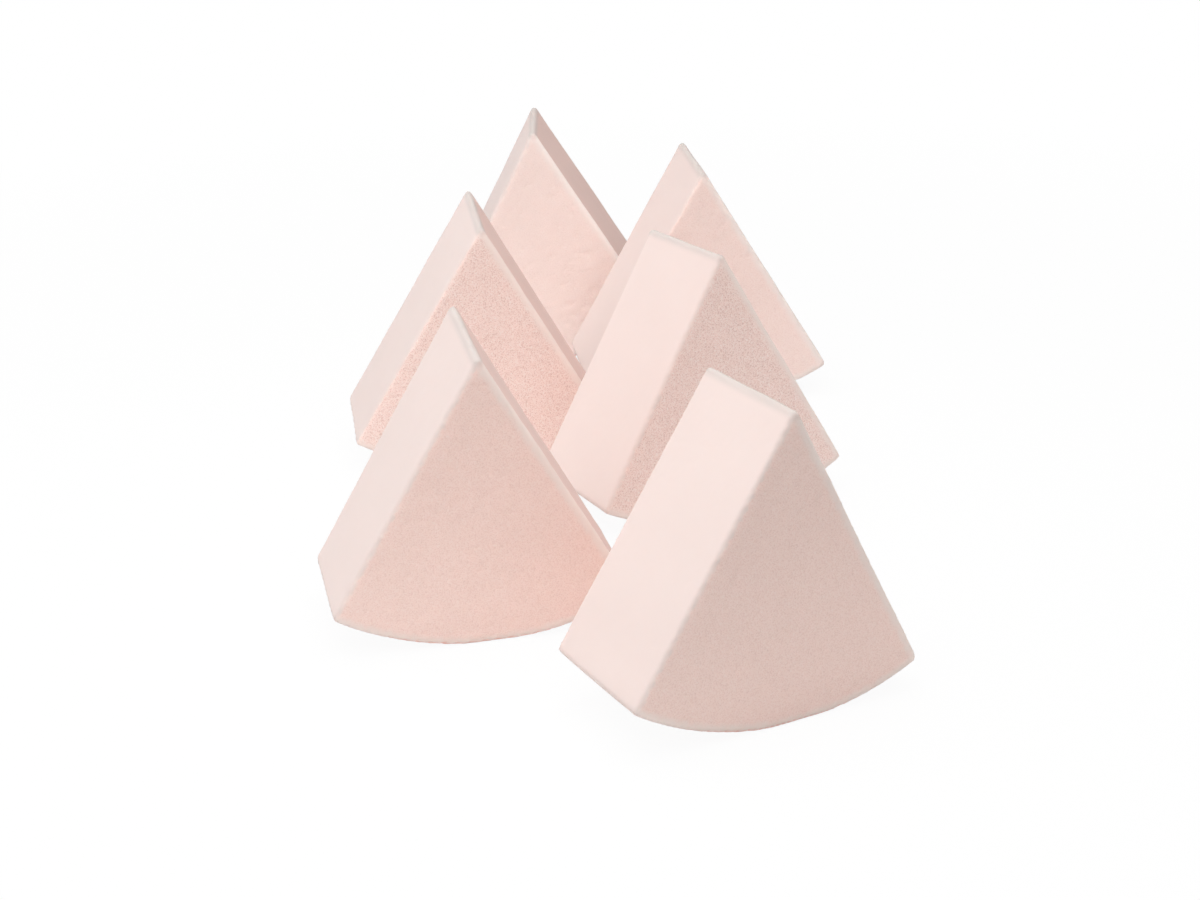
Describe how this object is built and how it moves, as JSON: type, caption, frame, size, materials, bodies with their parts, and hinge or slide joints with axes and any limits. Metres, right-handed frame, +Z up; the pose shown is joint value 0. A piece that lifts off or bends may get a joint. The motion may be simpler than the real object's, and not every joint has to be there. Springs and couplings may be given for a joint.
{
  "type": "powder puff set",
  "caption": "Loose soft foam powder puffs, each a thick wedge cut like a cake slice from a round pad and standing on its curved rim, tip up, held by hand to put on powder.",
  "frame": {"origin": "on the table, under the middle of the set's bounding box", "axes": "+X to the right, +Y from the front puff to the back one, +Z up"},
  "size_m": [0.088, 0.1888, 0.0452],
  "materials": {
    "soft_foam": "matte open-cell foam"
  },
  "bodies": {
    "front_right": {"front_right_puff": "soft_foam"},
    "front_left": {"front_left_puff": "soft_foam"},
    "middle_right": {"middle_right_puff": "soft_foam"},
    "middle_left": {"middle_left_puff": "soft_foam"},
    "back_right": {"back_right_puff": "soft_foam"},
    "back_left": {"back_left_puff": "soft_foam"}
  },
  "joints": [
    {"name": "front_left_lift", "type": "slide", "parent": "front_right", "child": "front_left", "axis": [0, 0, 1], "range_m": [0, 0.06]},
    {"name": "middle_right_lift", "type": "slide", "parent": "front_right", "child": "middle_right", "axis": [0, 0, 1], "range_m": [0, 0.06]},
    {"name": "middle_left_lift", "type": "slide", "parent": "front_right", "child": "middle_left", "axis": [0, 0, 1], "range_m": [0, 0.06]},
    {"name": "back_right_lift", "type": "slide", "parent": "front_right", "child": "back_right", "axis": [0, 0, 1], "range_m": [0, 0.06]},
    {"name": "back_left_lift", "type": "slide", "parent": "front_right", "child": "back_left", "axis": [0, 0, 1], "range_m": [0, 0.06]}
  ]
}
